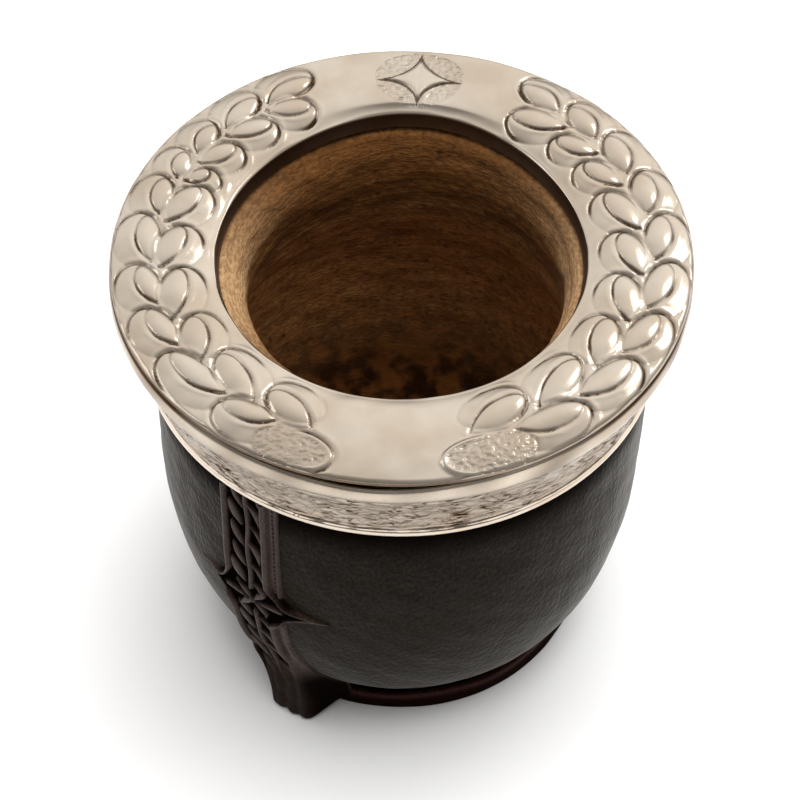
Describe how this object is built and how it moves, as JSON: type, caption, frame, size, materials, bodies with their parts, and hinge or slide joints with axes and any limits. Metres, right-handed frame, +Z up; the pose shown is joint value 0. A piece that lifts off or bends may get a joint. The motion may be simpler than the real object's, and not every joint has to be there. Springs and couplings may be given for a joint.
{
  "type": "mate gourd cup",
  "caption": "Empty mate gourd cup: calabash bowl in a dark leather cover with tooled straps ending in legs, leather sole, and a chased nickel-silver rim with a leaf wreath.",
  "frame": {"origin": "on the floor, at the middle of the round sole, on the cup's axis", "axes": "+Z up along the cup's axis; -Y is the front shown in the picture, with the plain part of the rim; +X to the right"},
  "size_m": [0.106, 0.106, 0.095],
  "materials": {
    "calabash": "dry scraped calabash shell, matt",
    "leather": "smooth waxed black-brown leather, satin",
    "tooled_leather": "tooled dark leather, satin, darker in the cuts",
    "sole_leather": "dark red-brown leather edge, satin",
    "silver": "polished nickel silver with chased ornament and dark patina in the cuts"
  },
  "bodies": {
    "root": {"gourd": "calabash", "leather_cover": "leather", "leather_sole": "sole_leather", "strap_leg_1": "tooled_leather", "strap_leg_2": "tooled_leather", "rim_plate": "silver", "rim_skirt": "silver"}
  },
  "joints": []
}
